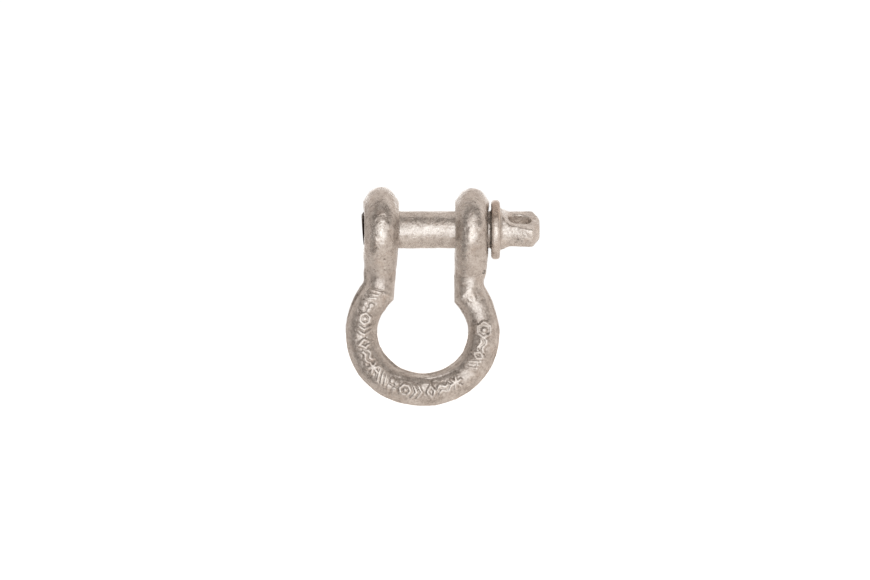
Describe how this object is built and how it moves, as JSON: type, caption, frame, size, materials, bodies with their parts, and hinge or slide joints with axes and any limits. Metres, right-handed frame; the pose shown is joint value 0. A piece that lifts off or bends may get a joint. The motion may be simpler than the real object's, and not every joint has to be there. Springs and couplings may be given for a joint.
{
  "type": "bow shackle",
  "caption": "Galvanised bow shackle: a round-bar bow with an eye at each end, closed by a collared screw pin with a flattened, holed head.",
  "frame": {"origin": "on the screw pin's axis, midway between the inner faces of the two ears", "axes": "+X along the pin towards its head, +Z away from the crown, so the bow hangs below the pin; the bow's parting plane is y = 0"},
  "size_m": [0.048, 0.0208, 0.0542],
  "materials": {
    "galvanised_bow": "hot-dip galvanised forging, mottled and pitted, semi-gloss",
    "galvanised_pin": "galvanised forging, mottled and pitted, with a bare dark threaded end"
  },
  "bodies": {
    "bow": {"bow": "galvanised_bow"},
    "screw_pin": {"screw_pin": "galvanised_pin"}
  },
  "joints": [
    {"name": "pin_stroke", "type": "slide", "parent": "bow", "child": "screw_pin", "axis": [1, 0, 0], "range_m": [0, 0.038]}
  ]
}
